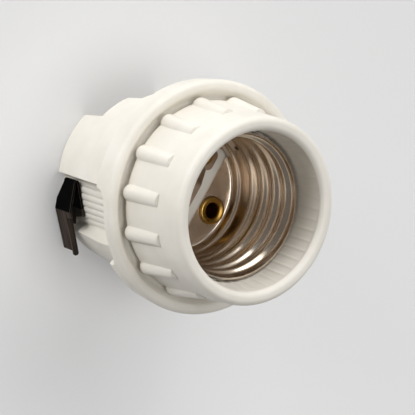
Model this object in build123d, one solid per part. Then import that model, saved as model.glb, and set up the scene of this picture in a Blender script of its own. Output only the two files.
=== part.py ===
from build123d import *
import math
import os

# Frame: the lamp axis is +Z, out of the mouth. The origin is the middle of the rear feet.
# The two side notches face -X and +X, the two terminal recesses face -Y and +Y.

# Screw shell radii, on which the other radii stand
SHELL_R = 13.3
SHEET = 0.35
PLAIN_STEP = 0.7
PLAIN_R = SHELL_R - PLAIN_STEP
SHOULDER_STEP = 0.7
SHOULDER_R = PLAIN_R - SHOULDER_STEP

# Cavity that takes the shell, and the neck that carries the ring
CAVITY_GAP = 0.3
CAVITY_R = SHELL_R + SHEET + CAVITY_GAP
NECK_WALL = 1.95
NECK_R = CAVITY_R + NECK_WALL
LAND_W = 1.5
LAND_R = NECK_R + LAND_W

# Barrel and flange
BARREL_WALL = 4.25
BARREL_R = CAVITY_R + BARREL_WALL
BARREL_TAPER = 1.1
BARREL_FOOT_R = BARREL_R - BARREL_TAPER
FLANGE_PROUD = 3.6
FLANGE_BACK_R = BARREL_R + FLANGE_PROUD
FLANGE_DRAFT = 0.45
FLANGE_R = FLANGE_BACK_R + FLANGE_DRAFT
CROWN_W = 1.85
FLANGE_LIP_R = FLANGE_R - CROWN_W
DISH_SLOPE_W = 1.4
DISH_OUTER_R = FLANGE_LIP_R - DISH_SLOPE_W
EDGE_R = FLANGE_PROUD / 4

# Levels of the body
RECESS_H = 7.4
RECESS_ROOF_T = 10.4
CAVITY_FLOOR_Z = RECESS_H + RECESS_ROOF_T
BARREL_TAPER_H = 13.0
FLANGE_RISE = 4.5
FLANGE_BACK_Z = CAVITY_FLOOR_Z + FLANGE_RISE
FLANGE_T = 5.9
FLANGE_FRONT_Z = FLANGE_BACK_Z + FLANGE_T
DISH_D = 1.6
DISH_Z = FLANGE_FRONT_Z - DISH_D
LAND_H = 1.0
RING_BACK_Z = DISH_Z + LAND_H
NECK_H = 6.8
NECK_TOP_Z = RING_BACK_Z + NECK_H

# Side notches with fluted floors
FLUTES = 72
FLUTE_H = 0.25
NOTCH_FLOOR_T = 1.25
NOTCH_FLOOR_R = CAVITY_R + NOTCH_FLOOR_T
NOTCH_HALF_W = 5.25
NOTCH_RIM_HALF_W = 8.1
NOTCH_RIM_H = 4.0
NOTCH_SLOPE_H = 2.0
NOTCH_CORNER_R = 2.7

# Terminal recesses, the barrier between them, and the wire channels that lead to them
RECESS_HALF_W = 8.3
BARRIER_T = 3.4
RECESS_CORNER_R = 0.4
CHANNEL_X = 1.0
CHANNEL_W = 6.0
CHANNEL_D = 2.0
CHANNEL_H = 5.0

# Ribbed ring
RING_FIT = 0.08
RING_WALL = 2.42
RING_BACK_R = NECK_R + RING_FIT + RING_WALL
RING_CONE = 0.85
RING_SHOULDER_R = RING_BACK_R - RING_CONE
RING_SHOULDER_H = 9.3
RING_SHOULDER_Z = RING_BACK_Z + RING_SHOULDER_H
RING_FRONT_DRAFT = 0.35
RING_FRONT_R = RING_SHOULDER_R - RING_FRONT_DRAFT
RING_FRONT_H = 6.2
RING_TOP_Z = RING_SHOULDER_Z + RING_FRONT_H
MOUTH_GROW = 0.8
MOUTH_R = CAVITY_R + MOUTH_GROW
MOUTH_ROOT_GROW = 0.45
MOUTH_ROOT_R = CAVITY_R + MOUTH_ROOT_GROW
LIP_ROUND_R = 0.45 * (RING_FRONT_R - MOUTH_R)
STEP_GAP = 0.4
RING_STEP_Z = NECK_TOP_Z + STEP_GAP
STEP_W = 1.0
RIBS = 15
RIB_PHASE = 15.5
RIB_W = 3.1
RIB_PROUD = 1.15
RIB_SINK = 0.5
RIB_OVERHANG = 0.8

# Screw shell levels, and the rolled thread of a medium lamp base
LIP_STAND = 2.0
SHELL_LIP_Z = NECK_TOP_Z + LIP_STAND
SHOULDER_H = 1.6
SHOULDER_Z = CAVITY_FLOOR_Z + SHOULDER_H
PLAIN_H = 3.5
PLAIN_TOP_Z = SHOULDER_Z + PLAIN_H
SHELL_CORNER = 0.7
THREAD_PITCH = 3.629
THREAD_DEPTH = 1.0
THREAD_CREST_R = SHELL_R - THREAD_DEPTH
THREAD_BEAD_R = 1.2
THREAD_TURNS = 3.783
THREAD_END_GAP = 1.07
THREAD_START_Z = SHELL_LIP_Z - THREAD_END_GAP - THREAD_TURNS * THREAD_PITCH
THREAD_START_ANGLE = 163.0
SLOT_HALF_W = 5.45
SLOT_END_GAP = 0.9
SLOT_HALF_L = SHOULDER_R - SLOT_END_GAP
SLOT_ANGLE = 45.0
PRICK_R = 0.5
PRICK_ANGLE = 27.4
PRICK_Z = SHOULDER_Z + 0.8 * PLAIN_H

# Eyelets that hold the shell down
HOLE_FIT = 0.1
EYELET_INSET = 3.5
EYELET_AT_R = SHOULDER_R - EYELET_INSET
EYELET_R = 1.75
EYELET_WALL = 0.35
EYELET_BORE_R = EYELET_R - EYELET_WALL
EYELET_FLANGE_R = 2.8
EYELET_FLANGE_H = 0.6
EYELET_CLINCH = 0.25
EYELET_CLINCH_R = EYELET_R + EYELET_CLINCH
EYELET_CLINCH_H = 0.45

# Centre contact strip and its rivet
STRIP_W = 4.9
STRIP_T = 0.5
STRIP_GAP = 0.25
RIVET_INSET = 3.9
RIVET_AT_R = SHOULDER_R - RIVET_INSET
STRIP_PAD_W = 7.0
STRIP_PAD_L = 4.2
STRIP_PAD_ROUND = 1.2
STRIP_END = RIVET_AT_R + STRIP_PAD_L / 2
STRIP_HEEL = RIVET_AT_R - STRIP_PAD_L / 2
STRIP_CREST = 2.6
STRIP_RISE = 1.1
STRIP_TIP = -5.6
STRIP_TIP_RISE = 0.75
RIVET_R = 1.3
RIVET_HEAD_R = 2.2
RIVET_HEAD_H = 0.7
RIVET_TAIL_R = 2.0
RIVET_TAIL_H = 0.6

# Terminal plates and screws
PLATE_T = 1.0
PLATE_HALF_W = 4.0
SCREW_INSET = 5.1
SCREW_Y = BARREL_FOOT_R - SCREW_INSET
PLATE_OUT_Y = SCREW_Y + PLATE_HALF_W
PLATE_IN_Y = SCREW_Y - 0.7 * PLATE_HALF_W
PLATE_TAB_X = 3.6
PLATE_TAB_GAP = 1.6
PLATE_TAB_Y = BARRIER_T / 2 + PLATE_TAB_GAP
PLATE_SIDE_GAP = 0.4
PLATE_SIDE_X = RECESS_HALF_W - PLATE_SIDE_GAP
PLATE_LUG_H = 1.6
SCREW_R = 1.6
SCREW_LEN = 5.4
SCREW_HEAD_R = 2.9
SCREW_HEAD_H = 2.0
SCREW_SLOT_W = 0.8
SCREW_SLOT_D = 1.0
SCREW_FIT = 0.08
POCKET_GAP = 0.7
POCKET_R = SCREW_R + POCKET_GAP

# Spring clips in the notches, and their rivets
CLIP_SHEET = 0.4
CLIP_BACK_Z = 1.2
CLIP_FRONT_Z = 6.8
CLIP_LEG_FRONT_Z = 4.9
CLIP_FOLD_Y = 6.05
CLIP_BEND_R = 0.35
CLIP_LEG_GAP = 1.05
CLIP_LEG_R = BARREL_FOOT_R + CLIP_LEG_GAP
CLIP_RIDGE_GROW = 0.29
CLIP_RIDGE_R = CLIP_LEG_R + CLIP_RIDGE_GROW
CLIP_RIDGE_Y = -0.88
CLIP_LEG_Y = -9.2
CLIP_TAIL_Y = -4.9
CLIP_SHOULDER_Y = -2.2
CLIP_HEM_Y = -10.3
CLIP_HEM_D = 1.1
CLIP_HEM_CORNER = 0.3
CLIP_TAIL_STEP = 0.5
CLIP_TAIL_DROP = 3.5
CLIP_TAIL_FLOOR = 0.8
CLIP_FOOT_Y = 1.0
CLIP_FOOT_RUN = 3.2
CLIP_FOOT_RISE = 1.7
CLIP_RIVET_Y = 3.1
CLIP_RIVET_Z = 4.85
CLIP_RIVET_R = 0.75
CLIP_RIVET_HEAD_R = 1.0
CLIP_RIVET_HEAD_H = 0.3

# Sizes that follow from the ones above
SHELL_FLOOR_Z = CAVITY_FLOOR_Z + SHEET
PLATE_FACE_Z = RECESS_H - PLATE_T
LEAF_R = NOTCH_FLOOR_R + FLUTE_H
STRIP_Z = CAVITY_FLOOR_Z + STRIP_GAP
ROLL = 0.8
CUT = 5.0


def polar(radius, degrees):
    """A point on the plan at a radius and an angle."""
    angle = math.radians(degrees)
    return radius * math.cos(angle), radius * math.sin(angle)


EYELET_AT = polar(EYELET_AT_R, SLOT_ANGLE - 90)
RIVET_AT = polar(RIVET_AT_R, SLOT_ANGLE)


def turned(points, rounds=()):
    """A solid of revolution about Z from a closed outline of (radius, height) points.

    rounds holds (index, radius) pairs for the outline corners that are rounded."""
    outline = Polyline(*points, close=True)
    face = make_face(outline)
    for index, radius in rounds:
        at = Vector(*points[index])
        corner = face.vertices().sort_by_distance(at)[0]
        face = fillet(corner, radius)
    return revolve(Plane.XZ * face, Axis.Z)


def rod(x, y, low, high, radius):
    """An upright cylinder between two heights."""
    return Pos(x, y, low) * extrude(Circle(radius), high - low)


def scalloped(radius, bulge):
    """A disc whose rim is one shallow arc for each flute. A negative bulge makes the arcs hollow."""
    step = 360 / FLUTES
    arcs = []
    for n in range(FLUTES):
        start = polar(radius, (n - 0.5) * step)
        middle = polar(radius + bulge, n * step)
        end = polar(radius, (n + 0.5) * step)
        arcs.append(ThreePointArc(start, middle, end))
    return make_face(Wire(arcs))


def body_turned():
    """Barrel, flange with a dished front, neck and cavity."""
    points = [
        (0, 0),
        (BARREL_FOOT_R, 0),
        (BARREL_R, BARREL_TAPER_H),
        (BARREL_R, FLANGE_BACK_Z),
        (FLANGE_BACK_R, FLANGE_BACK_Z),
        (FLANGE_R, FLANGE_FRONT_Z),
        (FLANGE_LIP_R, FLANGE_FRONT_Z),
        (DISH_OUTER_R, DISH_Z),
        (LAND_R, DISH_Z),
        (LAND_R, RING_BACK_Z),
        (NECK_R, RING_BACK_Z),
        (NECK_R, NECK_TOP_Z),
        (CAVITY_R, NECK_TOP_Z),
        (CAVITY_R, CAVITY_FLOOR_Z),
        (0, CAVITY_FLOOR_Z),
    ]
    rounds = [(1, EDGE_R), (3, EDGE_R), (4, EDGE_R), (5, EDGE_R), (6, EDGE_R), (7, EDGE_R), (11, EDGE_R / 3)]
    return turned(points, rounds)


def notch_section(reach):
    """The notch's section at one reach from the axis at -X: it grows wider and taller outward, with round corners."""
    share = (reach - NOTCH_FLOOR_R) / (FLANGE_R - NOTCH_FLOOR_R)
    half = NOTCH_HALF_W + share * (NOTCH_RIM_HALF_W - NOTCH_HALF_W)
    top = FLANGE_BACK_Z + NOTCH_RIM_H + (share - 1) * NOTCH_SLOPE_H
    face = make_face(Polyline((-half, -CUT), (half, -CUT), (half, top), (-half, top), close=True))
    face = fillet(face.vertices().group_by(Axis.Y)[-1], NOTCH_CORNER_R)
    return Plane(origin=(-reach, 0, 0), x_dir=(0, 1, 0), z_dir=(1, 0, 0)) * face


def notch_cutter():
    """The side notch at -X, with a fluted floor."""
    cutter = loft([notch_section(NOTCH_FLOOR_R - NOTCH_FLOOR_T), notch_section(FLANGE_R + CUT)], ruled=True)
    core = Pos(0, 0, -2 * CUT) * extrude(scalloped(NOTCH_FLOOR_R, FLUTE_H), FLANGE_FRONT_Z + 2 * CUT)
    return cutter - core


def recess_cutter():
    """The terminal recess at +Y, open to the rear and to the side, with the wire channel above it."""
    depth = BARREL_R + CUT
    plan = Pos(0, BARRIER_T / 2 + depth / 2) * Rectangle(2 * RECESS_HALF_W, depth)
    inner = plan.vertices().group_by(Axis.Y)[0]
    plan = fillet(inner, RECESS_CORNER_R)
    recess = Pos(0, 0, -CUT) * extrude(plan, RECESS_H + CUT)
    channel = Box(CHANNEL_W, CHANNEL_D + CUT, CHANNEL_H + CUT)
    return recess + Pos(CHANNEL_X, BARREL_R + (CUT - CHANNEL_D) / 2, RECESS_H + (CHANNEL_H - CUT) / 2) * channel


def half_turn(shape):
    """The same shape on the opposite side of the axis."""
    return Rot(0, 0, 180) * shape


def make_body():
    """The moulded porcelain body."""
    notch = notch_cutter()
    recess = recess_cutter()
    body = body_turned() - notch - half_turn(notch) - recess - half_turn(recess)
    eyelet = rod(*EYELET_AT, RECESS_H - CUT, CAVITY_FLOOR_Z + CUT, EYELET_R + HOLE_FIT)
    rivet = rod(*RIVET_AT, RECESS_H - CUT, CAVITY_FLOOR_Z + CUT, RIVET_R + HOLE_FIT)
    pocket = rod(0, SCREW_Y, RECESS_H - CUT, PLATE_FACE_Z + SCREW_LEN + POCKET_GAP, POCKET_R)
    clip_hole = clip_rod(LEAF_R + CUT, RECESS_HALF_W - CUT, CLIP_RIVET_R + HOLE_FIT)
    for hole in (eyelet, pocket, clip_hole):
        body = body - hole - half_turn(hole)
    return body - rivet


def rib():
    """One raised rib of the ring: round in section, with a ball end at the rear and a square front end."""
    low = RING_BACK_Z - RIB_OVERHANG
    radius = ((RIB_W / 2) ** 2 + RIB_PROUD ** 2) / (2 * RIB_PROUD)
    lean = math.degrees(math.atan2(RING_CONE + RIB_SINK, RING_SHOULDER_H))
    bar = extrude(Circle(radius), RING_SHOULDER_H + CUT)
    shape = Pos(0, 0, radius) * (bar + Sphere(radius))
    return Rot(0, 0, RIB_PHASE) * Pos(RING_BACK_R + RIB_PROUD - radius, 0, low) * Rot(0, -lean, 0) * shape


def make_ring():
    """The porcelain ring with ribs outside and flutes inside the mouth."""
    bore = NECK_R + RING_FIT
    points = [
        (RING_BACK_R, RING_BACK_Z),
        (RING_SHOULDER_R, RING_SHOULDER_Z),
        (RING_FRONT_R, RING_TOP_Z),
        (MOUTH_R, RING_TOP_Z),
        (MOUTH_ROOT_R - STEP_W, RING_STEP_Z),
        (bore, RING_STEP_Z),
        (bore, RING_BACK_Z),
    ]
    ring = turned(points, [(2, LIP_ROUND_R), (3, LIP_ROUND_R), (0, EDGE_R / 3)])
    root = Pos(0, 0, RING_STEP_Z - STEP_W) * scalloped(MOUTH_ROOT_R, -FLUTE_H)
    mouth = Pos(0, 0, RING_TOP_Z - LIP_ROUND_R) * scalloped(MOUTH_R, -FLUTE_H / 5)
    throat = loft([root, mouth], ruled=True)
    keep = turned([(bore, RING_BACK_Z - RIB_OVERHANG), (FLANGE_R, RING_BACK_Z - RIB_OVERHANG),
                   (FLANGE_R, RING_SHOULDER_Z), (bore, RING_SHOULDER_Z)])
    clear = turned([(bore, RING_BACK_Z - CUT), (LAND_R + RING_FIT, RING_BACK_Z - CUT),
                    (LAND_R + RING_FIT, RING_BACK_Z), (bore, RING_BACK_Z)])
    one = (rib() & keep) - clear
    ring = ring + [Rot(0, 0, 360 / RIBS * n) * one for n in range(RIBS)]
    return ring - throat


def shell_form(grow):
    """The solid inside (grow 0) or outside (grow one sheet) of the plain screw shell."""
    return turned([
        (0, SHELL_FLOOR_Z - grow),
        (SHOULDER_R - SHELL_CORNER + grow / 2, SHELL_FLOOR_Z - grow),
        (SHOULDER_R + grow, SHELL_FLOOR_Z + SHELL_CORNER - grow / 2),
        (SHOULDER_R + grow, SHOULDER_Z - grow / 2),
        (PLAIN_R + grow, SHOULDER_Z + SHELL_CORNER - grow / 2),
        (PLAIN_R + grow, PLAIN_TOP_Z - grow / 2),
        (SHELL_R + grow, PLAIN_TOP_Z + SHELL_CORNER - grow / 2),
        (SHELL_R + grow, SHELL_LIP_Z),
        (0, SHELL_LIP_Z),
    ])


def thread_bead(radius):
    """A round bead that follows the lamp thread's helix, with ball ends."""
    centre = THREAD_CREST_R + THREAD_BEAD_R
    run = THREAD_TURNS * THREAD_PITCH
    helix = Helix(THREAD_PITCH, run, centre)
    section = Plane(helix @ 0, z_dir=helix % 0) * Circle(radius)
    bead = sweep(section, path=helix, is_frenet=True)
    ends = [Pos(*(helix @ 0)) * Sphere(radius), Pos(*(helix @ 1)) * Sphere(radius)]
    return Pos(0, 0, THREAD_START_Z) * Rot(0, 0, THREAD_START_ANGLE) * (bead + ends)


def make_screw_shell():
    """The plated screw shell: sheet rolled to the lamp thread, with a slotted floor."""
    outer = shell_form(SHEET)
    blank = outer - shell_form(0)
    shell = blank + (thread_bead(THREAD_BEAD_R) & outer)
    shell = shell - thread_bead(THREAD_BEAD_R - SHEET)
    slot = Rot(0, 0, SLOT_ANGLE) * Box(2 * SLOT_HALF_L, 2 * SLOT_HALF_W, 4 * SHEET)
    shell = shell - Pos(0, 0, CAVITY_FLOOR_Z) * slot
    eyelet = rod(*EYELET_AT, CAVITY_FLOOR_Z - CUT, SHELL_FLOOR_Z + CUT, EYELET_R + HOLE_FIT)
    shell = shell - eyelet - half_turn(eyelet)
    prick = Rot(0, 90, 0) * extrude(Circle(PRICK_R), SHELL_R + CUT)
    return shell - Rot(0, 0, PRICK_ANGLE) * Pos(0, 0, PRICK_Z) * prick


def eyelet_at(at, clinch_z):
    """One tubular eyelet: a rolled flange above the shell's floor and a clinched rear end."""
    top = SHELL_FLOOR_Z
    foot = clinch_z - EYELET_CLINCH_H
    points = [
        (EYELET_BORE_R, foot),
        (EYELET_CLINCH_R, foot),
        (EYELET_CLINCH_R, clinch_z),
        (EYELET_R, clinch_z),
        (EYELET_R, top),
        (EYELET_FLANGE_R, top),
        (EYELET_FLANGE_R, top + EYELET_FLANGE_H),
        (EYELET_BORE_R, top + EYELET_FLANGE_H),
    ]
    rounds = [(6, EYELET_FLANGE_H * ROLL), (7, EYELET_FLANGE_H * ROLL)]
    return Pos(*at) * turned(points, rounds)


def make_shell_eyelets():
    """The two eyelets. One also holds the shell's terminal plate."""
    far = (-EYELET_AT[0], -EYELET_AT[1])
    return Compound([eyelet_at(EYELET_AT, PLATE_FACE_Z), eyelet_at(far, RECESS_H)])


def make_centre_contact():
    """The sprung strip that the lamp's centre contact presses down."""
    half = STRIP_T / 2
    level = STRIP_Z + half
    path = FilletPolyline(
        (STRIP_END, level),
        (STRIP_HEEL, level),
        (STRIP_CREST, level + STRIP_RISE),
        (-STRIP_CREST, level + STRIP_RISE),
        (STRIP_TIP, level + STRIP_TIP_RISE),
        radius=2 * STRIP_T,
    )
    profile = trace(path, line_width=STRIP_T)
    strip = Pos(0, STRIP_W / 2) * extrude(Plane.XZ * profile, STRIP_W)
    pad = RectangleRounded(STRIP_PAD_L, STRIP_PAD_W, STRIP_PAD_ROUND)
    strip = strip + Pos(RIVET_AT_R, 0, STRIP_Z) * extrude(pad, STRIP_T)
    strip = Rot(0, 0, SLOT_ANGLE) * strip
    return strip - rod(*RIVET_AT, STRIP_Z - CUT, STRIP_Z + CUT, RIVET_R + 2 * HOLE_FIT)


def make_contact_rivet():
    """The rivet that ties the centre contact to its terminal plate."""
    head = STRIP_Z + STRIP_T + STRIP_GAP
    points = [
        (0, PLATE_FACE_Z - RIVET_TAIL_H),
        (RIVET_TAIL_R, PLATE_FACE_Z - RIVET_TAIL_H),
        (RIVET_TAIL_R, PLATE_FACE_Z),
        (RIVET_R, PLATE_FACE_Z),
        (RIVET_R, head),
        (RIVET_HEAD_R, head),
        (RIVET_HEAD_R, head + RIVET_HEAD_H),
        (0, head + RIVET_HEAD_H),
    ]
    return Pos(*RIVET_AT) * turned(points, [(6, RIVET_HEAD_H * ROLL)])


def make_terminal(fixing, fixing_r):
    """A terminal plate at +Y: a screw pad with an outer lug, and a tab at the fixing."""
    outline = Polyline(
        (-PLATE_HALF_W, PLATE_IN_Y),
        (PLATE_TAB_X, PLATE_IN_Y),
        (PLATE_TAB_X, PLATE_TAB_Y),
        (PLATE_SIDE_X, PLATE_TAB_Y),
        (PLATE_SIDE_X, PLATE_IN_Y),
        (PLATE_HALF_W, SCREW_Y),
        (PLATE_HALF_W, PLATE_OUT_Y),
        (-PLATE_HALF_W, PLATE_OUT_Y),
        close=True,
    )
    plate = Pos(0, 0, PLATE_FACE_Z) * extrude(make_face(outline), PLATE_T)
    lug = Box(2 * PLATE_HALF_W, PLATE_T, PLATE_LUG_H + PLATE_T)
    plate = plate + Pos(0, PLATE_OUT_Y - PLATE_T / 2, RECESS_H - (PLATE_LUG_H + PLATE_T) / 2) * lug
    plate = plate - rod(0, SCREW_Y, RECESS_H - CUT, RECESS_H + CUT, SCREW_R + SCREW_FIT)
    return plate - rod(*fixing, RECESS_H - CUT, RECESS_H + CUT, fixing_r + HOLE_FIT)


def make_terminal_screw():
    """A slotted binding screw at +Y, with its head to the rear."""
    points = [
        (0, PLATE_FACE_Z - SCREW_HEAD_H),
        (SCREW_HEAD_R, PLATE_FACE_Z - SCREW_HEAD_H),
        (SCREW_HEAD_R, PLATE_FACE_Z),
        (SCREW_R, PLATE_FACE_Z),
        (SCREW_R, PLATE_FACE_Z + SCREW_LEN),
        (0, PLATE_FACE_Z + SCREW_LEN),
    ]
    screw = turned(points, [(1, SCREW_HEAD_H / 3), (4, SCREW_R / 4)])
    slot = Box(3 * SCREW_HEAD_R, SCREW_SLOT_W, 2 * SCREW_SLOT_D)
    return Pos(0, SCREW_Y) * (screw - Pos(0, 0, PLATE_FACE_Z - SCREW_HEAD_H) * slot)


def clip_block(outline, low, high):
    """A block at -X from an outline of (reach from the axis, height up the notch), between two levels."""
    face = make_face(Polyline(*[(-reach, across) for reach, across in outline], close=True))
    return Pos(0, 0, low) * extrude(face, high - low)


def clip_side_cut(outline, near, far):
    """A cutter for the clip from an outline of (across the notch, level), between two reaches."""
    face = make_face(Polyline(*outline, close=True))
    return Pos(-far, 0) * extrude(Plane.YZ * face, far - near)


def clip_rod(outer, inner, radius):
    """A cylinder along X on the clip rivet's axis at -X."""
    return Pos(-outer, CLIP_RIVET_Y, CLIP_RIVET_Z) * Rot(0, 90, 0) * extrude(Circle(radius), outer - inner)


def make_clip():
    """The spring clip at -X, folded from one strip of sheet."""
    middle = LEAF_R + CLIP_SHEET / 2
    path = FilletPolyline(
        (-middle, CLIP_TAIL_Y),
        (-middle, CLIP_FOLD_Y),
        (-CLIP_RIDGE_R, CLIP_RIDGE_Y),
        (-CLIP_LEG_R, CLIP_LEG_Y),
        radius=CLIP_BEND_R,
    )
    strip = Pos(0, 0, CLIP_BACK_Z) * extrude(trace(path, line_width=CLIP_SHEET), CLIP_FRONT_Z - CLIP_BACK_Z)
    top = CLIP_FRONT_Z + CUT
    leg_top = clip_side_cut([
        (CLIP_SHOULDER_Y, CLIP_LEG_FRONT_Z), (CLIP_SHOULDER_Y, top), (CLIP_HEM_Y, top), (CLIP_HEM_Y, CLIP_LEG_FRONT_Z),
    ], LEAF_R + 2 * CLIP_SHEET, CLIP_RIDGE_R + CUT)
    tail = clip_side_cut([
        (CLIP_SHOULDER_Y - CLIP_TAIL_STEP, top), (CLIP_SHOULDER_Y - CLIP_TAIL_STEP, CLIP_FRONT_Z - CLIP_TAIL_FLOOR),
        (CLIP_SHOULDER_Y - 2 * CLIP_TAIL_STEP, CLIP_FRONT_Z - CLIP_TAIL_DROP),
        (CLIP_TAIL_Y - CUT, CLIP_BACK_Z - CLIP_TAIL_FLOOR), (CLIP_TAIL_Y - CUT, top),
    ], LEAF_R - CUT, LEAF_R + 2 * CLIP_SHEET)
    foot = CLIP_BACK_Z + CLIP_FOOT_RISE
    fold = clip_side_cut([
        (CLIP_FOLD_Y, 0), (CLIP_FOLD_Y, foot), (CLIP_FOOT_Y + CLIP_FOOT_RUN, foot),
        (CLIP_FOOT_Y, CLIP_BACK_Z), (CLIP_FOOT_Y, 0),
    ], LEAF_R - CUT, CLIP_RIDGE_R + CUT)
    outer = CLIP_LEG_R + CLIP_SHEET / 2
    inner = outer - CLIP_HEM_D
    corner = CLIP_HEM_CORNER
    hem = clip_block([
        (outer, CLIP_SHOULDER_Y), (inner, CLIP_SHOULDER_Y), (inner, CLIP_HEM_Y + corner),
        (inner + corner, CLIP_HEM_Y), (outer - corner, CLIP_HEM_Y), (outer, CLIP_HEM_Y + corner),
    ], CLIP_LEG_FRONT_Z - CLIP_SHEET, CLIP_LEG_FRONT_Z)
    hole = clip_rod(LEAF_R + 2 * CLIP_SHEET, LEAF_R - CUT, CLIP_RIVET_R + HOLE_FIT)
    return (strip - leg_top - tail - fold - hole) + hem


def make_clip_rivet():
    """The rivet of the clip at -X, clinched inside the terminal recess."""
    seat = LEAF_R + CLIP_SHEET
    shank = clip_rod(seat + CLIP_RIVET_HEAD_H, RECESS_HALF_W - CLIP_RIVET_HEAD_H, CLIP_RIVET_R)
    head = clip_rod(seat + CLIP_RIVET_HEAD_H, seat, CLIP_RIVET_HEAD_R)
    tail = clip_rod(RECESS_HALF_W, RECESS_HALF_W - CLIP_RIVET_HEAD_H, CLIP_RIVET_HEAD_R)
    return shank + head + tail


def make_parts():
    """Every node's name and solid."""
    screw = make_terminal_screw()
    clip = make_clip()
    rivet = make_clip_rivet()
    shell_terminal = make_terminal((EYELET_AT[0], -EYELET_AT[1]), EYELET_R)
    return {
        "body": make_body(),
        "ring": make_ring(),
        "screw_shell": make_screw_shell(),
        "shell_eyelets": make_shell_eyelets(),
        "centre_contact": make_centre_contact(),
        "contact_rivet": make_contact_rivet(),
        "contact_terminal": make_terminal(RIVET_AT, RIVET_R),
        "contact_terminal_screw": screw,
        "shell_terminal": mirror(shell_terminal, Plane.XZ),
        "shell_terminal_screw": half_turn(screw),
        "clip_left": clip,
        "clip_right": half_turn(clip),
        "clip_rivets": Compound([rivet, half_turn(rivet)]),
    }


if __name__ == "__main__":
    os.makedirs("parts", exist_ok=True)
    for name, shape in make_parts().items():
        export_step(shape, f"parts/{name}.step")
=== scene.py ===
"""The look of a porcelain lamp socket: finishes, worked sheet metal, studio and camera.

The sub-assemblies' sizes are in millimetres. The finishes and the studio are in metres.
"""

import logging
import math
from collections.abc import Sequence
from dataclasses import dataclass
from enum import Enum
from typing import ClassVar

import bpy
from mathutils import Matrix, Vector

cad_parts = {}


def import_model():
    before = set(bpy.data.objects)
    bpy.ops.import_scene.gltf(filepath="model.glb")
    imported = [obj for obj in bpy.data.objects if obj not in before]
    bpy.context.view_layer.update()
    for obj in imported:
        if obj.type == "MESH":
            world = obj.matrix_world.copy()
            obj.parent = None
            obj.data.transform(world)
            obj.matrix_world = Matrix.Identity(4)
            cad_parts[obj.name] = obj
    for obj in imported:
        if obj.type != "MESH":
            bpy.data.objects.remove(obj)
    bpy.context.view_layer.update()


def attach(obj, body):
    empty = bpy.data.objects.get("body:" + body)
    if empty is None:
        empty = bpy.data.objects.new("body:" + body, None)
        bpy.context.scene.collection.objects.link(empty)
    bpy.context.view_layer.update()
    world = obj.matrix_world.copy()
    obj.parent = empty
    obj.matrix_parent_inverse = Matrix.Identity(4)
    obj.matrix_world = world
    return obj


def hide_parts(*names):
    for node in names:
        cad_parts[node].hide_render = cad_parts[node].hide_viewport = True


LOG = logging.getLogger("lamp_socket")
MM = 0.001

# Millimetres: the height of the shell's floor, and how far each eyelet stands from the axis along X and Y.
SHELL_FLOOR_Z = 18.15
EYELET_AT = 5.9397

Point = tuple[float, float, float]
Colour = tuple[float, float, float]
Profile = Sequence[tuple[float, float]]
NodeSocket = bpy.types.NodeSocket
Piece = bpy.types.Object


def eased(share: float) -> float:
    """Gives a share from 0 to 1 a soft start and a soft end."""
    return share * share * (3 - 2 * share)


def opaque(colour: Colour) -> tuple[float, float, float, float]:
    """Adds full opacity to a colour."""
    return (*colour, 1.0)


class Body(Enum):
    """The bodies that modelled pieces ride on."""

    SOCKET = "socket"
    RING = "ring"


@dataclass(frozen=True)
class Grain:
    """A layer of noise: cells to a metre, octaves, a scale for each axis, and its depth as relief."""

    cells: float
    octaves: float = 3.0
    stretch: Point = (1.0, 1.0, 1.0)
    depth: float = 0.0


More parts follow.
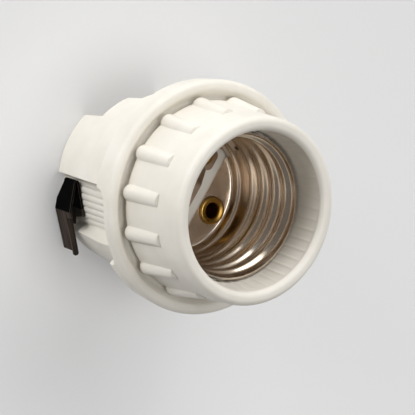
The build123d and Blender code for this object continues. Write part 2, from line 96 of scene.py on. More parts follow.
class NodeTree:
    """Adds and links the nodes of one material."""

    COLOUR_A: ClassVar[int] = 6
    COLOUR_B: ClassVar[int] = 7
    COLOUR_RESULT: ClassVar[int] = 2

    def __init__(self, name: str) -> None:
        """Starts an empty material.

        Args:
            name: The material's name.
        """
        self.material = bpy.data.materials.new(name)
        self.material.use_nodes = True
        self.tree = self.material.node_tree
        self.tree.nodes.clear()

    def add(self, kind: str, **settings: object) -> bpy.types.Node:
        """Adds a node.

        Args:
            kind: The node's type name, without the ShaderNode prefix.
            settings: Attributes of the node, or values of its inputs where no attribute has that name.

        Returns:
            The new node.
        """
        node = self.tree.nodes.new(f"ShaderNode{kind}")
        for key, value in settings.items():
            if hasattr(node, key):
                setattr(node, key, value)
            else:
                node.inputs[key.replace("_", " ")].default_value = value
        return node

    def link(self, source: NodeSocket, target: NodeSocket) -> None:
        """Links two sockets."""
        self.tree.links.new(source, target)

    def feed(self, source: NodeSocket | float | tuple[float, ...], target: NodeSocket) -> None:
        """Links a socket to an input, or sets the input's own value.

        Args:
            source: A socket, or a plain value.
            target: The input.
        """
        if isinstance(source, NodeSocket):
            self.link(source, target)
        else:
            target.default_value = source

    def place(self) -> NodeSocket:
        """Gives the point on the object, in metres."""
        return self.add("TexCoord").outputs["Object"]

    def noise(self, grain: Grain) -> NodeSocket:
        """Adds noise over the object.

        Args:
            grain: The layer of noise.

        Returns:
            The noise's value, about 0.5 on average.
        """
        mapping = self.add("Mapping")
        mapping.inputs["Scale"].default_value = grain.stretch
        self.link(self.place(), mapping.inputs["Vector"])
        noise = self.add("TexNoise", Scale=grain.cells, Detail=grain.octaves)
        self.link(mapping.outputs["Vector"], noise.inputs["Vector"])
        return noise.outputs["Fac"]

    def ramp(self, value: NodeSocket, first: tuple[float, Colour],
             second: tuple[float, Colour]) -> NodeSocket:
        """Turns a value into a colour between two.

        Args:
            value: The value that is read.
            first: The value up to which the first colour holds, and that colour.
            second: The value from which the second colour holds, and that colour.

        Returns:
            The colour.
        """
        ramp = self.add("ValToRGB")
        for element, (position, colour) in zip(ramp.color_ramp.elements, (first, second)):
            element.position = position
            element.color = opaque(colour)
        self.link(value, ramp.inputs["Fac"])
        return ramp.outputs["Color"]

    def span(self, value: NodeSocket, start: float, end: float,
             low: float = 0.0, high: float = 1.0) -> NodeSocket:
        """Maps a value from one range onto another and holds it at the ends.

        Args:
            value: The value that is read.
            start: The value that becomes low.
            end: The value that becomes high.
            low: What start becomes.
            high: What end becomes.

        Returns:
            The mapped value.
        """
        node = self.add("MapRange", From_Min=start, From_Max=end, To_Min=low, To_Max=high)
        self.link(value, node.inputs["Value"])
        return node.outputs["Result"]

    def combine(self, operation: str, first: NodeSocket, second: NodeSocket | float,
                clamp: bool = False) -> NodeSocket:
        """Adds a sum, a product or a comparison of two values.

        Args:
            operation: The operation's name.
            first: The first value.
            second: The second value, a socket or a number.
            clamp: Whether the result is held between 0 and 1.

        Returns:
            The result.
        """
        node = self.add("Math", operation=operation, use_clamp=clamp)
        self.link(first, node.inputs[0])
        self.feed(second, node.inputs[1])
        return node.outputs[0]

    def dot(self, first: NodeSocket, second: NodeSocket | Point) -> NodeSocket:
        """Adds the dot product of two vectors.

        Args:
            first: The first vector.
            second: The second vector, a socket or a point.

        Returns:
            The product.
        """
        node = self.add("VectorMath", operation="DOT_PRODUCT")
        self.link(first, node.inputs[0])
        self.feed(second, node.inputs[1])
        return node.outputs["Value"]

    def mix(self, factor: NodeSocket, first: NodeSocket | tuple[float, ...],
            second: NodeSocket | tuple[float, ...]) -> NodeSocket:
        """Mixes two colours.

        Args:
            factor: The share of the second colour.
            first: The first colour, a socket or an opaque colour.
            second: The second colour, a socket or an opaque colour.

        Returns:
            The mixed colour.
        """
        node = self.add("Mix", data_type="RGBA")
        self.link(factor, node.inputs["Factor"])
        self.feed(first, node.inputs[self.COLOUR_A])
        self.feed(second, node.inputs[self.COLOUR_B])
        return node.outputs[self.COLOUR_RESULT]

    def bump(self, height: NodeSocket, depth: float, below: NodeSocket | None = None) -> NodeSocket:
        """Adds a bump.

        Args:
            height: The height field.
            depth: Its depth in metres.
            below: The normal of a coarser bump, if there is one.

        Returns:
            The bumped normal.
        """
        node = self.add("Bump", Strength=1.0, Distance=depth)
        self.link(height, node.inputs["Height"])
        if below is not None:
            self.link(below, node.inputs["Normal"])
        return node.outputs["Normal"]

    def relief(self, grain: Grain, below: NodeSocket | None = None) -> NodeSocket:
        """Adds a layer of noise as a bump, over a coarser one if there is one."""
        return self.bump(self.noise(grain), grain.depth, below)

    def surface(self, colour: NodeSocket, normal: NodeSocket | None, roughness: NodeSocket | float,
                **settings: object) -> bpy.types.Node:
        """Adds the surface shader.

        Args:
            colour: Its base colour.
            normal: Its normal, if it isn't the mesh's own.
            roughness: Its roughness, a socket or a number.
            settings: Values of its other inputs.

        Returns:
            The shader node.
        """
        shader = self.add("BsdfPrincipled", **settings)
        self.link(colour, shader.inputs["Base Color"])
        self.feed(roughness, shader.inputs["Roughness"])
        if normal is not None:
            self.link(normal, shader.inputs["Normal"])
        return shader

    def finish(self, shader: bpy.types.Node) -> bpy.types.Material:
        """Links the shader to the output.

        Args:
            shader: The shader node.

        Returns:
            The finished material.
        """
        output = self.add("OutputMaterial")
        self.link(shader.outputs[0], output.inputs["Surface"])
        return self.material


@dataclass(frozen=True)
class PorcelainFinish:
    """Unglazed porcelain: warm white, matte, with soft edges, faint mottling and rare soft brown specks."""

    name: str = "bisque_porcelain"
    pale: Colour = (0.86, 0.825, 0.755)
    deep: Colour = (0.80, 0.765, 0.69)
    mottle: Grain = Grain(120.0, 4.0)
    mottle_from: float = 0.35
    mottle_to: float = 0.65
    roughness: float = 0.5
    gloss: float = 0.35
    edge: float = 0.0003
    edge_samples: int = 6
    waves: Grain = Grain(170.0, 2.0, depth=0.0001)
    tooth: Grain = Grain(2600.0, 3.0, depth=0.00001)
    speck: Colour = (0.42, 0.33, 0.22)
    speck_cells: float = 300.0
    speck_size: float = 0.045
    speck_fade: float = 2.4
    speck_strength: float = 0.8
    speck_rare_from: float = 0.965
    speck_rare_to: float = 0.98

    def specks(self, nodes: NodeTree) -> NodeSocket:
        """Picks a few cells and puts a soft dot in each.

        Args:
            nodes: The material's nodes.

        Returns:
            The share of the speck's colour.
        """
        cells = nodes.add("TexVoronoi", Scale=self.speck_cells, Randomness=1.0)
        nodes.link(nodes.place(), cells.inputs["Vector"])
        near = nodes.span(cells.outputs["Distance"], self.speck_size, self.speck_size * self.speck_fade,
                          self.speck_strength, 0.0)
        pick = nodes.add("SeparateColor")
        nodes.link(cells.outputs["Color"], pick.inputs["Color"])
        rare = nodes.span(pick.outputs["Red"], self.speck_rare_from, self.speck_rare_to)
        return nodes.combine("MULTIPLY", near, rare)

    def make(self) -> bpy.types.Material:
        """Makes the material.

        Returns:
            The material.
        """
        nodes = NodeTree(self.name)
        mottle = nodes.ramp(nodes.noise(self.mottle),
                            (self.mottle_from, self.deep), (self.mottle_to, self.pale))
        colour = nodes.mix(self.specks(nodes), mottle, opaque(self.speck))
        edges = nodes.add("Bevel", samples=self.edge_samples, Radius=self.edge)
        relief = nodes.relief(self.tooth, nodes.relief(self.waves, edges.outputs["Normal"]))
        return nodes.finish(nodes.surface(colour, relief, self.roughness, Specular_IOR_Level=self.gloss))


@dataclass(frozen=True)
class MetalFinish:
    """A metal with drifting tone and fine drawn lines."""

    name: str
    light: Colour
    dark: Colour
    smooth: float
    rough: float
    drift: Grain = Grain(180.0, 4.0)
    drift_from: float = 0.3
    drift_to: float = 0.7
    lines: Grain = Grain(900.0, 3.0, depth=0.000002)

    def make(self) -> bpy.types.Material:
        """Makes the material.

        Returns:
            The material.
        """
        nodes = NodeTree(self.name)
        drift = nodes.noise(self.drift)
        colour = nodes.ramp(drift, (self.drift_from, self.dark), (self.drift_to, self.light))
        roughness = nodes.span(drift, 0.0, 1.0, self.rough, self.smooth)
        return nodes.finish(nodes.surface(colour, nodes.relief(self.lines), roughness, Metallic=1.0))


@dataclass(frozen=True)
class SpringSteelFinish:
    """Blackened spring steel: black turned down to near zero as painted shade, edges lighter as wear and a
    painted highlight, and a leg grey-brown along its length as rubbed lines and a painted reflection of the
    floor.

    The leg is where the product of X and Y, in square metres, is above leg_from.
    """

    name: str = "blackened_steel"
    # The blackened steel's own black, turned down to near zero and kept with a low gloss, as painted shade
    # of the clip's shaded inside.
    black_and_shade: Colour = (0.0008, 0.0008, 0.0008)
    leg_from: float = 0.000018
    lines: Grain = Grain(1100.0, 3.0, (1.0, 0.08, 3.0), 0.000006)
    # The leg's grey-brown: drawn and rubbed lines, lightened as a painted reflection of the floor.
    drawn: Colour = (0.02, 0.016, 0.014)
    rubbed_and_reflection: Colour = (0.085, 0.066, 0.056)
    drawn_to: float = 0.3
    rubbed_from: float = 0.65
    # Lighter edges: wear and a painted highlight along the edges.
    worn_and_highlight: Colour = (0.16, 0.13, 0.11)
    worn_share: float = 0.8
    edge: float = 0.00022
    edge_samples: int = 8
    edge_from: float = 0.97
    edge_full: float = 0.8
    roughness: float = 0.5
    gloss: float = 0.012

    def leg(self, nodes: NodeTree) -> NodeSocket:
        """Tells the leg from the rest of the clip.

        Args:
            nodes: The material's nodes.

        Returns:
            1 on the leg and 0 elsewhere.
        """
        axes = nodes.add("SeparateXYZ")
        nodes.link(nodes.place(), axes.inputs[0])
        side = nodes.combine("MULTIPLY", axes.outputs["X"], axes.outputs["Y"])
        return nodes.combine("GREATER_THAN", side, self.leg_from)

    def make(self) -> bpy.types.Material:
        """Makes the material.

        Returns:
            The material.
        """
        nodes = NodeTree(self.name)
        soft = nodes.add("Bevel", samples=self.edge_samples, Radius=self.edge).outputs["Normal"]
        hard = nodes.add("NewGeometry").outputs["Normal"]
        # Edges found by the bevel are painted lighter, as wear and a painted highlight.
        wear_and_highlight = nodes.span(nodes.dot(soft, hard), self.edge_from, self.edge_full, high=self.worn_share)
        lines = nodes.noise(self.lines)
        # Painted reflection: the leg is lighter than the black, with the drawn lines running through it.
        drawn = nodes.ramp(lines, (self.drawn_to, self.drawn), (self.rubbed_from, self.rubbed_and_reflection))
        # The leg carries the painted reflection; the rest keeps the black with its painted shade.
        tone = nodes.mix(self.leg(nodes), opaque(self.black_and_shade), drawn)
        colour = nodes.mix(wear_and_highlight, tone, opaque(self.worn_and_highlight))
        relief = nodes.bump(lines, self.lines.depth, soft)
        return nodes.finish(nodes.surface(colour, relief, self.roughness, Specular_IOR_Level=self.gloss))


@dataclass(frozen=True)
class FloorFinish:
    """A pale seamless table, a little lifted for the camera and for mirror rays, that takes the shadow; its
    colour is painted lighter towards -Y, where the key's long shadow falls, and darker towards +Y.
    """

    name: str = "pale_table"
    # Painted light: near is the lighter colour on the -Y side, where the key's long shadow falls, and far
    # the darker one towards +Y.
    far: Colour = (0.80, 0.80, 0.80)
    near: Colour = (0.94, 0.94, 0.945)
    glow: float = 0.25
    level: float = 0.9
    painted_gradient_axis: Point = (0.288, 0.943, 0.0)
    reach: float = 0.09
    roughness: float = 0.9
    gloss: float = 0.1

    def lifted(self, nodes: NodeTree) -> NodeSocket:
        """Finds how much of its own light the table shows to the ray that meets it.

        Args:
            nodes: The material's nodes.

        Returns:
            The share of the glow.
        """
        rays = nodes.add("LightPath").outputs
        seen = nodes.combine("ADD", rays["Is Camera Ray"], rays["Is Glossy Ray"])
        through = nodes.combine("ADD", seen, rays["Is Transmission Ray"], clamp=True)
        return nodes.combine("MULTIPLY", through, self.glow)

    def make(self) -> bpy.types.Material:
        """Makes the material.

        Returns:
            The material.
        """
        nodes = NodeTree(self.name)
        # Painted light: the colour runs from near, lighter over the shadow towards -Y, to far, darker
        # towards +Y.
        share = nodes.span(nodes.dot(nodes.place(), self.painted_gradient_axis), -self.reach, self.reach)
        colour = nodes.ramp(share, (0.0, self.near), (1.0, self.far))
        shader = nodes.surface(colour, None, self.roughness, Specular_IOR_Level=self.gloss)
        lift = nodes.add("Emission", Strength=self.level)
        nodes.link(colour, lift.inputs["Color"])
        both = nodes.add("MixShader")
        nodes.link(self.lifted(nodes), both.inputs["Fac"])
        nodes.link(shader.outputs[0], both.inputs[1])
        nodes.link(lift.outputs[0], both.inputs[2])
        return nodes.finish(both)


class Finish(Enum):
    """The finishes, by the record's slot names."""

    PORCELAIN = PorcelainFinish()
    PLATED_SHELL = MetalFinish("bright_nickel", (0.84, 0.745, 0.645), (0.56, 0.45, 0.345), 0.17, 0.26,
                               Grain(110.0, 4.0))
    BRASS = MetalFinish("aged_brass", (0.52, 0.33, 0.08), (0.32, 0.16, 0.035), 0.22, 0.36)
    CONTACT_BRONZE = MetalFinish("spring_bronze", (0.42, 0.33, 0.25), (0.26, 0.18, 0.12), 0.28, 0.45)
    PLATED_SCREW = MetalFinish("zinc_screw", (0.66, 0.65, 0.62), (0.50, 0.49, 0.46), 0.25, 0.4)
    BLACK_SPRING_STEEL = SpringSteelFinish()

    def material(self) -> bpy.types.Material:
        """Gives the finish's material, made once."""
        return bpy.data.materials.get(self.value.name) or self.value.make()

    def slot(self) -> str:
        """Gives the record's slot name."""
        return self.name.lower()


class Worked:
    """Modelling steps that the worked pieces share, with the distances under which points merge."""

    LATHE_MERGE: ClassVar[float] = 0.01
    CLEAN_MERGE: ClassVar[float] = 0.008
    SMOOTH_DEGREES: ClassVar[float] = 38.0

    @staticmethod
    def select(piece: Piece) -> None:
        """Selects one piece alone and makes it active.

        Args:
            piece: The object.
        """
        bpy.ops.object.select_all(action="DESELECT")
        piece.select_set(True)
        bpy.context.view_layer.objects.active = piece

    @staticmethod
    def chain(name: str, points: Profile) -> Piece:
        """Draws an outline on the XZ plane by extruding one vertex from point to point.

        Args:
            name: The object's name.
            points: (radius, height) points.

        Returns:
            The object, in object mode.
        """
        bpy.ops.object.select_all(action="DESELECT")
        bpy.ops.mesh.primitive_plane_add(size=MM, location=(0.0, 0.0, 0.0))
        piece = bpy.context.active_object
        piece.name = name
        piece.data.name = name
        bpy.ops.object.mode_set(mode="EDIT")
        bpy.ops.mesh.select_all(action="SELECT")
        bpy.ops.mesh.merge(type="CENTER")
        bpy.ops.mesh.select_all(action="SELECT")
        last = (0.0, 0.0)
        for count, (radius, height) in enumerate(points):
            step = ((radius - last[0]) * MM, 0.0, (height - last[1]) * MM)
            if count == 0:
                bpy.ops.transform.translate(value=step)
            else:
                bpy.ops.mesh.extrude_region_move(TRANSFORM_OT_translate={"value": step})
            last = (radius, height)
        bpy.ops.object.mode_set(mode="OBJECT")
        return piece

    @staticmethod
    def apply(piece: Piece, kind: str, **settings: object) -> None:
        """Adds a modifier and applies it.

        Args:
            piece: The object.
            kind: The modifier's type.
            settings: Its settings.
        """
        bpy.context.view_layer.objects.active = piece
        bpy.ops.object.modifier_add(type=kind)
        modifier = piece.modifiers[-1]
        for key, value in settings.items():
            setattr(modifier, key, value)
        bpy.ops.object.modifier_apply(modifier=modifier.name)

    @classmethod
    def lathe(cls, piece: Piece, steps: int, rise: float = 0.0, turns: int = 1) -> None:
        """Turns the outline about Z.

        Args:
            piece: The outline.
            steps: Steps to a turn.
            rise: How far it climbs in a turn.
            turns: Turns.
        """
        cls.apply(piece, "SCREW", axis="Z", angle=2 * math.pi, steps=steps, render_steps=steps,
                  screw_offset=rise * MM, iterations=turns, use_merge_vertices=True,
                  merge_threshold=cls.LATHE_MERGE * MM, use_smooth_shade=True)
        cls.clean(piece)

    @classmethod
    def clean(cls, piece: Piece) -> None:
        """Merges doubles and turns the normals one way.

        Args:
            piece: The object.
        """
        bpy.context.view_layer.objects.active = piece
        bpy.ops.object.mode_set(mode="EDIT")
        bpy.ops.mesh.select_all(action="SELECT")
        bpy.ops.mesh.remove_doubles(threshold=cls.CLEAN_MERGE * MM)
        bpy.ops.mesh.normals_make_consistent(inside=False)
        bpy.ops.object.mode_set(mode="OBJECT")

    @classmethod
    def press(cls, piece: Piece, weights: dict[int, float], radius: float) -> None:
        """Draws points onto a cylinder about Z, each by its own share, and leaves their heights.

        Args:
            piece: The object.
            weights: The share of the way that each point goes, by its index.
            radius: The cylinder's radius.
        """
        group = piece.vertex_groups.new(name="pressed")
        for index, share in weights.items():
            group.add([index], share, "REPLACE")
        cls.apply(piece, "CAST", cast_type="CYLINDER", factor=1.0, use_radius_as_size=False,
                  size=radius * MM, use_z=False, vertex_group=group.name)
        piece.vertex_groups.clear()

    @staticmethod
    def cut_level(piece: Piece, level: float, keep_below: bool) -> None:
        """Cuts the piece at a level and drops one side.

        Args:
            piece: The object.
            level: The height of the cut.
            keep_below: Whether the side below stays.
        """
        bpy.context.view_layer.objects.active = piece
        bpy.ops.object.mode_set(mode="EDIT")
        bpy.ops.mesh.select_all(action="SELECT")
        bpy.ops.mesh.bisect(plane_co=(0.0, 0.0, level * MM), plane_no=(0.0, 0.0, 1.0),
                            clear_outer=keep_below, clear_inner=not keep_below)
        bpy.ops.object.mode_set(mode="OBJECT")

    @classmethod
    def subtract(cls, piece: Piece, tool: Piece) -> None:
        """Takes a tool's solid out of the piece and deletes the tool."""
        cls.apply(piece, "BOOLEAN", operation="DIFFERENCE", solver="EXACT", object=tool)
        bpy.data.objects.remove(tool, do_unlink=True)

    @staticmethod
    def join(pieces: list[Piece], name: str) -> Piece:
        """Joins pieces into the first.

        Args:
            pieces: Two or more pieces.
            name: The joined piece's name.

        Returns:
            The joined piece.
        """
        bpy.ops.object.select_all(action="DESELECT")
        for piece in pieces:
            piece.select_set(True)
        bpy.context.view_layer.objects.active = pieces[0]
        bpy.ops.object.join()
        pieces[0].name = name
        return pieces[0]

    @classmethod
    def settle(cls, piece: Piece, finish: Finish, body: Body, *nodes: str) -> None:
        """Shades, dresses and mounts a finished piece.

        Args:
            piece: The piece.
            finish: Its finish.
            body: The body it rides on.
            nodes: The CAD nodes that it stands for.
        """
        cls.select(piece)
        bpy.ops.object.transform_apply(location=True, rotation=True, scale=True)
        bpy.ops.object.shade_smooth_by_angle(angle=math.radians(cls.SMOOTH_DEGREES))
        piece.data.materials.clear()
        piece.data.materials.append(finish.material())
        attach(piece, body.value)
        finish.slot()
        if nodes:
            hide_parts(*nodes)
        piece.select_set(False)
        LOG.info("built %s with %d faces", piece.name, len(piece.data.polygons))


class SubAssembly:
    """A sub-assembly: CAD nodes in their finishes, and the pieces that are modelled here."""

    NODES: ClassVar[dict[str, Finish]] = {}

    def model(self) -> None:
        """Models the sub-assembly's own pieces, where it has any."""

    def build(self) -> None:
        """Dresses the CAD nodes and models the pieces."""
        for name, finish in self.NODES.items():
            materials = bpy.data.objects[name].data.materials
            materials.clear()
            materials.append(finish.material())
            LOG.info("dressed %s in %s", name, finish.value.name)
        self.model()


class Moulding(SubAssembly):
    """The moulded body, with its flange, notches and wiring recesses."""

    NODES = {"body": Finish.PORCELAIN}


@dataclass
class ScrewShell(SubAssembly):
    """The screw shell: sheet rolled to the lamp thread, over a stepped cup with a slotted floor.

    A run is how far from its end of the thread the wall is still plain, and from where the wave is whole.
    """

    NODES = {"screw_shell": Finish.PLATED_SHELL}

    sheet: float = 0.35
    steps: int = 144
    floor_r: float = 11.9
    corner: float = 0.7
    corner_degrees: tuple[float, ...] = (-60, -30, 0)
    step_z: float = 19.55
    step_shares: tuple[float, ...] = (0.0, 0.25, 0.5, 0.75, 1.0)
    plain_r: float = 12.6
    rim_z: float = 22.05
    thread_z: float = 22.3
    lip_z: float = 36.4
    lip_r: float = 13.3
    crest_r: float = 12.3
    crest_z: float = 23.586
    pitch: float = 3.629
    rows: int = 32
    sharp: float = 1.6
    turns: int = 6
    turns_below: int = 2
    foot_run: tuple[float, float] = (0.1, 1.5)
    lip_run: tuple[float, float] = (0.4, 1.5)
    tie_reach: float = 0.5
    slot: tuple[float, float] = (22.0, 10.9)
    slot_degrees: float = 45.0
    slot_sheets: int = 4
    hole_r: float = 1.85
    hole_depth: float = 2.0
    hole_sides: int = 48
    prick_r: float = 0.5
    prick_z: float = 22.2
    prick_degrees: float = 27.4
    prick_depth: float = 4.0
    prick_sides: int = 32

    def thread(self) -> Piece:
        """Rolls the thread: one wave, wound up the shell, whose ends run out.

        Returns:
            The thread, as one sheet.
        """
        low = self.crest_z - self.turns_below * self.pitch
        wave = []
        for row in range(self.rows + 1):
            share = row / self.rows
            crest = (0.5 + 0.5 * math.cos(2 * math.pi * share)) ** self.sharp
            wave.append((self.lip_r - (self.lip_r - self.crest_r) * crest, low + self.pitch * share))
        piece = Worked.chain("screw_shell_rolled", wave)
        Worked.lathe(piece, self.steps, self.pitch, self.turns)
        plain, whole = self.foot_run
        self.run_out(piece, self.plain_r, self.thread_z + plain, self.thread_z + whole)
        plain, whole = self.lip_run
        self.run_out(piece, self.lip_r, self.lip_z - plain, self.lip_z - whole)
        Worked.cut_level(piece, self.lip_z, True)
        Worked.cut_level(piece, self.thread_z, False)
        return piece

    def run_out(self, piece: Piece, radius: float, plain_z: float, whole_z: float) -> None:
        """Draws the wave onto a plain cylinder towards one end.

        Args:
            piece: The wound wave.
            radius: The cylinder's radius.
            plain_z: The level from which the wall is plain.
            whole_z: The level at which the wave is whole.
        """
        weights = {}
        for vertex in piece.data.vertices:
            share = (vertex.co.z / MM - whole_z) / (plain_z - whole_z)
            share = min(1.0, max(0.0, share))
            if share > 0.0:
                weights[vertex.index] = eased(share)
        Worked.press(piece, weights, radius)

    def cup(self) -> Piece:
        """Turns the stepped cup.

        Returns:
            The cup, as one sheet.
        """
        inner = self.floor_r - self.corner
        points = [(0.0, SHELL_FLOOR_Z), (inner, SHELL_FLOOR_Z)]
        for degrees in self.corner_degrees:
            angle = math.radians(degrees)
            points.append((inner + self.corner * math.cos(angle),
                           SHELL_FLOOR_Z + self.corner + self.corner * math.sin(angle)))
        rise = self.plain_r - self.floor_r
        for share in self.step_shares:
            points.append((self.floor_r + rise * eased(share), self.step_z + rise * share))
        points.append((self.plain_r, self.rim_z))
        piece = Worked.chain("screw_shell_cup", points)
        Worked.lathe(piece, self.steps)
        return piece

    def tie(self, piece: Piece) -> None:
        """Bridges the cup's rim to the foot of the thread.

        Args:
            piece: The thread and the cup, joined.
        """
        bpy.context.view_layer.objects.active = piece
        bpy.ops.object.mode_set(mode="EDIT")
        bpy.ops.mesh.select_mode(type="EDGE")
        bpy.ops.mesh.select_all(action="DESELECT")
        bpy.ops.mesh.select_non_manifold(extend=False, use_wire=False, use_multi_face=False,
                                         use_non_contiguous=False, use_verts=False)
        bpy.ops.object.mode_set(mode="OBJECT")
        top = (self.thread_z + self.tie_reach) * MM
        for edge in piece.data.edges:
            if any(piece.data.vertices[index].co.z > top for index in edge.vertices):
                edge.select = False
        bpy.ops.object.mode_set(mode="EDIT")
        bpy.ops.mesh.bridge_edge_loops()
        bpy.ops.mesh.select_mode(type="VERT")
        bpy.ops.mesh.select_all(action="SELECT")
        bpy.ops.mesh.normals_make_consistent(inside=False)
        bpy.ops.object.mode_set(mode="OBJECT")

    @staticmethod
    def outward(piece: Piece) -> float:
        """Tells on which side of the sheet the thickness goes, away from the axis.

        Args:
            piece: The sheet.

        Returns:
            1 or -1, as the Solidify modifier's offset.
        """
        face = max(piece.data.polygons, key=lambda polygon: polygon.center.x)
        return 1.0 if face.normal.x > 0 else -1.0

    def slot_tool(self) -> Piece:
        """Makes the block that cuts the floor's slot.

        Returns:
            The block.
        """
        length, width = self.slot
        bpy.ops.mesh.primitive_cube_add(size=1.0, location=(0.0, 0.0, (SHELL_FLOOR_Z - self.sheet) * MM),
                                        rotation=(0.0, 0.0, math.radians(self.slot_degrees)),
                                        scale=(length * MM, width * MM, self.slot_sheets * self.sheet * MM))
        return bpy.context.active_object

    def hole_tool(self, side: int) -> Piece:
        """Makes the rod that pierces the floor for one eyelet.

        Args:
            side: 1 or -1.

        Returns:
            The rod.
        """
        at = side * EYELET_AT * MM
        bpy.ops.mesh.primitive_cylinder_add(radius=self.hole_r * MM, depth=self.hole_depth * MM,
                                            vertices=self.hole_sides, location=(at, -at, SHELL_FLOOR_Z * MM))
        return bpy.context.active_object

    def prick_tool(self) -> Piece:
        """Makes the rod that pricks the wall.

        Returns:
            The rod.
        """
        angle = math.radians(self.prick_degrees)
        reach = self.plain_r * MM
        place = (reach * math.cos(angle), reach * math.sin(angle), self.prick_z * MM)
        bpy.ops.mesh.primitive_cylinder_add(radius=self.prick_r * MM, depth=self.prick_depth * MM,
                                            vertices=self.prick_sides, location=place,
                                            rotation=(0.0, math.pi / 2, angle))
        return bpy.context.active_object

    def model(self) -> None:
        """Models the shell and puts it in the CAD node's place."""
        piece = Worked.join([self.thread(), self.cup()], "screw_shell_rolled")
        self.tie(piece)
        Worked.apply(piece, "SOLIDIFY", thickness=self.sheet * MM, offset=self.outward(piece))
        Worked.subtract(piece, self.slot_tool())
        Worked.subtract(piece, self.prick_tool())
        for side in (1, -1):
            Worked.subtract(piece, self.hole_tool(side))
        Worked.settle(piece, Finish.PLATED_SHELL, Body.SOCKET, "screw_shell")


@dataclass
class Ring(SubAssembly):
    """The screwed ring, with the wall in its mouth: hollow flutes with narrow ridges between them.

    The flutes are shallower towards the lip. Their shares give the depth of each point across one flute.
    """

    NODES = {"ring": Finish.PORCELAIN}

    flutes: int = 45
    shares: tuple[float, ...] = (0.0, 0.75, 1.0, 1.0, 1.0, 1.0, 1.0, 0.75)
    foot: tuple[float, float] = (14.0, 34.8)
    head: tuple[float, float] = (14.63, 42.1)
    foot_depth: float = 0.2
    head_depth: float = 0.05
    wall: float = 0.5
    back_share: float = 0.5
    head_slope: float = 0.2
    press_r: float = 15.0
    near: float = 0.01

    def hollow(self, piece: Piece) -> None:
        """Presses the flutes into the turned wall and leaves the ridges.

        Args:
            piece: The turned wall.
        """
        step = 360 / (self.flutes * len(self.shares))
        weights = {}
        for (radius, level), depth in ((self.foot, self.foot_depth), (self.head, self.head_depth)):
            for vertex in piece.data.vertices:
                place = vertex.co / MM
                if abs(place.z - level) > self.near or abs(place.xy.length - radius) > self.near:
                    continue
                count = round(math.degrees(math.atan2(place.y, place.x)) / step)
                share = self.shares[count % len(self.shares)]
                if share > 0.0:
                    weights[vertex.index] = share * depth / (self.press_r - radius)
        Worked.press(piece, weights, self.press_r)

    def model(self) -> None:
        """Models the wall, whose back lies inside the ring."""
        (foot_r, foot_z), (head_r, head_z) = self.foot, self.head
        back = (head_r + self.wall * self.back_share, head_z + self.wall * self.head_slope)
        outline = [self.foot, self.head, back, (foot_r + self.wall, foot_z), self.foot]
        piece = Worked.chain("mouth_flutes", outline)
        Worked.lathe(piece, self.flutes * len(self.shares))
        self.hollow(piece)
        Worked.settle(piece, Finish.PORCELAIN, Body.RING)


@dataclass
class Eyelets(SubAssembly):
    """The two rolled brass eyelets that hold the shell down.

    The throat's points are (radius, depth under the flange's top), and the clinch's are (radius, depth
    under the foot).
    """

    NODES = {"shell_eyelets": Finish.BRASS}

    near_foot_z: float = 6.4
    far_foot_z: float = 7.4
    outer_r: float = 1.75
    bore_r: float = 1.4
    flange_r: float = 2.8
    flange_h: float = 0.6
    throat: Profile = ((2.2, 0.02), (1.95, 0.14), (1.75, 0.2), (1.62, 0.28), (1.5, 0.6), (1.4, 1.1))
    clinch: Profile = ((1.8, 0.45), (2.0, 0.25), (2.0, 0.0))
    arc_degrees: int = 30
    steps: int = 64

    def eyelet(self, side: int, foot_z: float) -> Piece:
        """Turns an eyelet: a rolled flange, a dished throat, a tube and a clinched foot.

        Args:
            side: 1 or -1.
            foot_z: The height of its foot.

        Returns:
            The eyelet.
        """
        bead = self.flange_h / 2
        top = SHELL_FLOOR_Z + self.flange_h
        points = [(self.outer_r, SHELL_FLOOR_Z)]
        for degrees in range(-90, 91, self.arc_degrees):
            angle = math.radians(degrees)
            points.append((self.flange_r - bead + bead * math.cos(angle),
                           SHELL_FLOOR_Z + bead + bead * math.sin(angle)))
        points += [(radius, top - depth) for radius, depth in self.throat]
        points.append((self.bore_r, foot_z))
        points += [(radius, foot_z - depth) for radius, depth in self.clinch]
        points += [(self.outer_r, foot_z), (self.outer_r, SHELL_FLOOR_Z)]
        piece = Worked.chain("eyelet", points)
        Worked.lathe(piece, self.steps)
        Worked.select(piece)
        at = side * EYELET_AT * MM
        bpy.ops.transform.translate(value=(at, -at, 0.0))
        bpy.ops.object.transform_apply(location=True, rotation=True, scale=True)
        return piece

    def model(self) -> None:
        """Models both eyelets as one piece and puts it in the CAD node's place."""
        pair = [self.eyelet(1, self.near_foot_z), self.eyelet(-1, self.far_foot_z)]
        Worked.settle(Worked.join(pair, "eyelets_rolled"), Finish.BRASS, Body.SOCKET, "shell_eyelets")


class ContactSide(SubAssembly):
    """The centre contact with its rivet, its terminal plate and the screw that takes the wire."""

    NODES = {
        "centre_contact": Finish.CONTACT_BRONZE,
        "contact_rivet": Finish.BRASS,
        "contact_terminal": Finish.BRASS,
        "contact_terminal_screw": Finish.PLATED_SCREW,
    }


class ShellSide(SubAssembly):
    """The shell's terminal plate and the screw that takes the other wire."""

    NODES = {"shell_terminal": Finish.BRASS, "shell_terminal_screw": Finish.PLATED_SCREW}


class Clips(SubAssembly):
    """The two spring clips and the rivets that hold them."""

    NODES = dict.fromkeys(("clip_left", "clip_right", "clip_rivets"), Finish.BLACK_SPRING_STEEL)


@dataclass(frozen=True)
class Lamp:
    """A square area lamp that faces the socket and that the camera doesn't see."""

    AIM: ClassVar[Point] = (0.0, 0.0, 0.02)

    name: str
    at: Point
    watts: float
    side: float

    def build(self) -> None:
        """Hangs the lamp."""
        data = bpy.data.lights.new(self.name, "AREA")
        data.energy = self.watts
        data.size = self.side
        lamp = bpy.data.objects.new(self.name, data)
        bpy.context.scene.collection.objects.link(lamp)
        lamp.location = self.at
        aim = Vector(self.AIM) - Vector(self.at)
        lamp.rotation_euler = aim.to_track_quat("-Z", "Y").to_euler()
        lamp.visible_camera = False


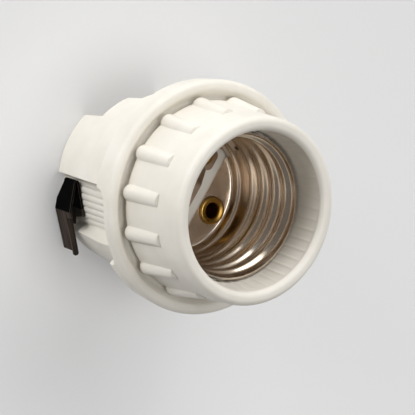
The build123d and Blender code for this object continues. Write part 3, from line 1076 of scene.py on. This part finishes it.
@dataclass
class Studio:
    """Camera, lamps, world and floor."""

    camera_at: Point = (-0.15183, 0.08772, 0.26879)
    right: Point = (0.81266, -0.14763, 0.56373)
    up: Point = (0.28819, 0.94262, -0.16860)
    lens: float = 138.9
    sensor: float = 36.0
    clip_start: float = 0.01
    lamps: tuple[Lamp, ...] = (
        Lamp("key", (0.24, 0.84, 0.47), 3.5, 0.60),
        Lamp("fill", (0.56, 0.52, 0.56), 2.8, 0.65),
        Lamp("side", (-0.40, 0.42, 0.03), 2.6, 0.25),
        Lamp("top", (0.02, -0.04, 0.90), 2.6, 0.50),
    )
    floor_side: float = 4.0
    world_colour: Colour = (1.0, 0.98, 0.95)
    world_strength: float = 0.16

    def camera(self) -> None:
        """Sets the camera at the photograph's viewing angle."""
        data = bpy.data.cameras.new("camera")
        data.lens = self.lens
        data.sensor_width = self.sensor
        data.clip_start = self.clip_start
        camera = bpy.data.objects.new("camera", data)
        bpy.context.scene.collection.objects.link(camera)
        right = Vector(self.right)
        up = Vector(self.up)
        turn = Matrix((right, up, right.cross(up))).transposed()
        camera.matrix_world = Matrix.Translation(Vector(self.camera_at)) @ turn.to_4x4()
        bpy.context.scene.camera = camera

    def floor(self) -> None:
        """Adds the pale floor."""
        bpy.ops.mesh.primitive_plane_add(size=self.floor_side, location=(0.0, 0.0, 0.0))
        floor = bpy.context.active_object
        floor.name = "floor"
        floor.data.materials.append(FloorFinish().make())

    def world(self) -> None:
        """Sets an even pale world."""
        world = bpy.data.worlds.new("studio")
        world.use_nodes = True
        background = world.node_tree.nodes["Background"]
        background.inputs["Color"].default_value = opaque(self.world_colour)
        background.inputs["Strength"].default_value = self.world_strength
        bpy.context.scene.world = world

    def build(self) -> None:
        """Builds the studio."""
        self.camera()
        for lamp in self.lamps:
            lamp.build()
        self.floor()
        self.world()
        bpy.context.scene.view_settings.view_transform = "Standard"
        LOG.info("built the studio with %d lamps", len(self.lamps))


def main() -> None:
    """Builds the whole scene in order."""
    logging.basicConfig(level=logging.INFO, format="%(message)s")
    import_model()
    bpy.ops.object.select_all(action="DESELECT")
    for part in (Moulding(), ScrewShell(), Ring(), Eyelets(), ContactSide(), ShellSide(), Clips()):
        part.build()
    Studio().build()


if __name__ == "__main__":
    main()
